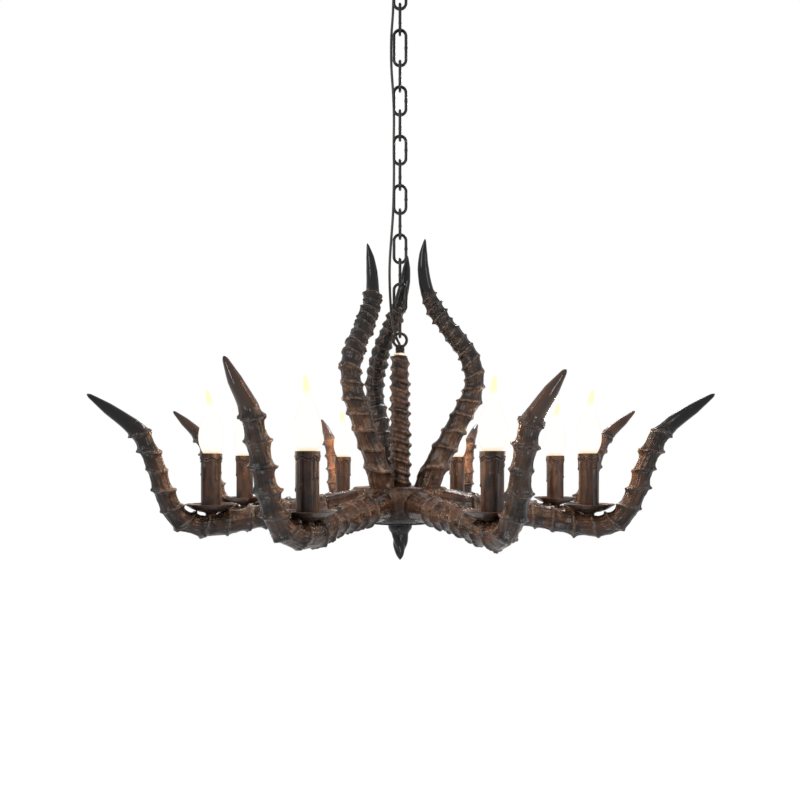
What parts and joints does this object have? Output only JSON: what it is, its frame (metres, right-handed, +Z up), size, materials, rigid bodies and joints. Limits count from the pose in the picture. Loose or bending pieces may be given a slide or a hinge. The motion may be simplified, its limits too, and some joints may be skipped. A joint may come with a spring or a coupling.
{
  "type": "antler chandelier",
  "caption": "Ceiling light of ridged resin horns round a hub, with candle lamps on drip pans, a ribbed column, a chain with a supply cord, and a ceiling canopy.",
  "frame": {"origin": "centre of the ceiling crossbar's top face, on the ceiling plane", "axes": "+Z up along the axis of the light, -Y is the front seen in the picture, +X is to the right"},
  "size_m": [0.8178, 0.8178, 0.9444],
  "materials": {
    "horn_resin": "painted resin horn, dark brown with rusty hollows",
    "dark_resin": "near-black, satin gloss",
    "black_iron": "black iron, satin",
    "zinc_steel": "zinc plated",
    "bronze_paint": "dark bronze paint, satin",
    "holder_plastic": "white moulded lamp holder",
    "bulb_glass": "lit frosted glass",
    "cord_sheath": "black cord",
    "pale_washer": "pale plastic washer"
  },
  "bodies": {
    "ceiling_mount": {"ceiling_crossbar": "zinc_steel", "canopy": "black_iron", "canopy_screws": "black_iron", "canopy_loop": "black_iron", "canopy_loop_nut": "zinc_steel", "supply_cord": "cord_sheath"},
    "link_01": {"chain_link_01": "black_iron"},
    "link_02": {"chain_link_02": "black_iron"},
    "link_03": {"chain_link_03": "black_iron"},
    "link_04": {"chain_link_04": "black_iron"},
    "link_05": {"chain_link_05": "black_iron"},
    "link_06": {"chain_link_06": "black_iron"},
    "link_07": {"chain_link_07": "black_iron"},
    "link_08": {"chain_link_08": "black_iron"},
    "link_09": {"chain_link_09": "black_iron"},
    "link_10": {"chain_link_10": "black_iron"},
    "link_11": {"chain_link_11": "black_iron"},
    "link_12": {"chain_link_12": "black_iron"},
    "link_13": {"chain_link_13": "black_iron"},
    "link_14": {"chain_link_14": "black_iron"},
    "fixture": {"bottom_loop": "black_iron", "loop_collar": "black_iron", "column_washer": "pale_washer", "column": "horn_resin", "centre_tube": "zinc_steel", "centre_nuts": "zinc_steel", "hub": "horn_resin", "hub_cover": "dark_resin", "finial": "dark_resin", "upper_horn_1": "horn_resin", "upper_horn_2": "horn_resin", "upper_horn_3": "horn_resin", "lower_horn_1": "horn_resin", "lower_horn_2": "horn_resin", "lower_horn_3": "horn_resin", "lower_horn_4": "horn_resin", "lower_horn_5": "horn_resin", "lower_horn_6": "horn_resin", "lower_horn_7": "horn_resin", "lower_horn_8": "horn_resin", "horn_bolts": "zinc_steel", "drip_pans": "bronze_paint", "candle_nipples": "zinc_steel", "lamp_holders": "holder_plastic", "candle_sleeve_1": "bronze_paint", "candle_sleeve_2": "bronze_paint", "candle_sleeve_3": "bronze_paint", "candle_sleeve_4": "bronze_paint", "candle_sleeve_5": "bronze_paint", "candle_sleeve_6": "bronze_paint", "candle_sleeve_7": "bronze_paint", "candle_sleeve_8": "bronze_paint"},
    "lamp_1": {"bulb_1": "bulb_glass"},
    "lamp_2": {"bulb_2": "bulb_glass"},
    "lamp_3": {"bulb_3": "bulb_glass"},
    "lamp_4": {"bulb_4": "bulb_glass"},
    "lamp_5": {"bulb_5": "bulb_glass"},
    "lamp_6": {"bulb_6": "bulb_glass"},
    "lamp_7": {"bulb_7": "bulb_glass"},
    "lamp_8": {"bulb_8": "bulb_glass"}
  },
  "joints": [
    {"name": "chain_swing_01", "type": "hinge", "parent": "ceiling_mount", "child": "link_01", "pos_m": [0, 0, -0.06075], "axis": [0, 1, 0], "range_deg": [-20, 20], "deforming": ["supply_cord"]},
    {"name": "chain_swing_02", "type": "hinge", "parent": "link_01", "child": "link_02", "pos_m": [0, 0, -0.09873], "axis": [1, 0, 0], "range_deg": [-20, 20], "deforming": ["supply_cord"]},
    {"name": "chain_swing_03", "type": "hinge", "parent": "link_02", "child": "link_03", "pos_m": [0, 0, -0.13655], "axis": [0, 1, 0], "range_deg": [-6, 6], "deforming": ["supply_cord"]},
    {"name": "chain_swing_04", "type": "hinge", "parent": "link_03", "child": "link_04", "pos_m": [0, 0, -0.18568], "axis": [1, 0, 0], "range_deg": [-6, 6], "deforming": ["supply_cord"]},
    {"name": "chain_swing_05", "type": "hinge", "parent": "link_04", "child": "link_05", "pos_m": [0, 0, -0.2235], "axis": [0, 1, 0], "range_deg": [-6, 6], "deforming": ["supply_cord"]},
    {"name": "chain_swing_06", "type": "hinge", "parent": "link_05", "child": "link_06", "pos_m": [0, 0, -0.26132], "axis": [1, 0, 0], "range_deg": [-6, 6], "deforming": ["supply_cord"]},
    {"name": "chain_swing_07", "type": "hinge", "parent": "link_06", "child": "link_07", "pos_m": [0, 0, -0.29914], "axis": [0, 1, 0], "range_deg": [-6, 6], "deforming": ["supply_cord"]},
    {"name": "chain_swing_08", "type": "hinge", "parent": "link_07", "child": "link_08", "pos_m": [0, 0, -0.33696], "axis": [1, 0, 0], "range_deg": [-6, 6], "deforming": ["supply_cord"]},
    {"name": "chain_swing_09", "type": "hinge", "parent": "link_08", "child": "link_09", "pos_m": [0, 0, -0.37479], "axis": [0, 1, 0], "range_deg": [-6, 6], "deforming": ["supply_cord"]},
    {"name": "chain_swing_10", "type": "hinge", "parent": "link_09", "child": "link_10", "pos_m": [0, 0, -0.41261], "axis": [1, 0, 0], "range_deg": [-6, 6], "deforming": ["supply_cord"]},
    {"name": "chain_swing_11", "type": "hinge", "parent": "link_10", "child": "link_11", "pos_m": [0, 0, -0.45043], "axis": [0, 1, 0], "range_deg": [-6, 6], "deforming": ["supply_cord"]},
    {"name": "chain_swing_12", "type": "hinge", "parent": "link_11", "child": "link_12", "pos_m": [0, 0, -0.48825], "axis": [1, 0, 0], "range_deg": [-6, 6], "deforming": ["supply_cord"]},
    {"name": "chain_swing_13", "type": "hinge", "parent": "link_12", "child": "link_13", "pos_m": [0, 0, -0.52607], "axis": [0, 1, 0], "range_deg": [-6, 6], "deforming": ["supply_cord"]},
    {"name": "chain_swing_14", "type": "hinge", "parent": "link_13", "child": "link_14", "pos_m": [0, 0, -0.5639], "axis": [1, 0, 0], "range_deg": [-6, 6], "deforming": ["supply_cord"]},
    {"name": "chain_swing_15", "type": "hinge", "parent": "link_14", "child": "fixture", "pos_m": [0, 0, -0.60172], "axis": [0, 1, 0], "range_deg": [-6, 6], "deforming": ["supply_cord"]},
    {"name": "bulb_turn_1", "type": "hinge", "parent": "fixture", "child": "lamp_1", "pos_m": [0.26146, 0.1083, -0.85234], "axis": [0, 0, 1], "range_deg": [0, 720]},
    {"name": "bulb_turn_2", "type": "hinge", "parent": "fixture", "child": "lamp_2", "pos_m": [0.1083, 0.26146, -0.85234], "axis": [0, 0, 1], "range_deg": [0, 720]},
    {"name": "bulb_turn_3", "type": "hinge", "parent": "fixture", "child": "lamp_3", "pos_m": [-0.1083, 0.26146, -0.85234], "axis": [0, 0, 1], "range_deg": [0, 720]},
    {"name": "bulb_turn_4", "type": "hinge", "parent": "fixture", "child": "lamp_4", "pos_m": [-0.26146, 0.1083, -0.85234], "axis": [0, 0, 1], "range_deg": [0, 720]},
    {"name": "bulb_turn_5", "type": "hinge", "parent": "fixture", "child": "lamp_5", "pos_m": [-0.26146, -0.1083, -0.85234], "axis": [0, 0, 1], "range_deg": [0, 720]},
    {"name": "bulb_turn_6", "type": "hinge", "parent": "fixture", "child": "lamp_6", "pos_m": [-0.1083, -0.26146, -0.85234], "axis": [0, 0, 1], "range_deg": [0, 720]},
    {"name": "bulb_turn_7", "type": "hinge", "parent": "fixture", "child": "lamp_7", "pos_m": [0.1083, -0.26146, -0.85234], "axis": [0, 0, 1], "range_deg": [0, 720]},
    {"name": "bulb_turn_8", "type": "hinge", "parent": "fixture", "child": "lamp_8", "pos_m": [0.26146, -0.1083, -0.85234], "axis": [0, 0, 1], "range_deg": [0, 720]}
  ]
}
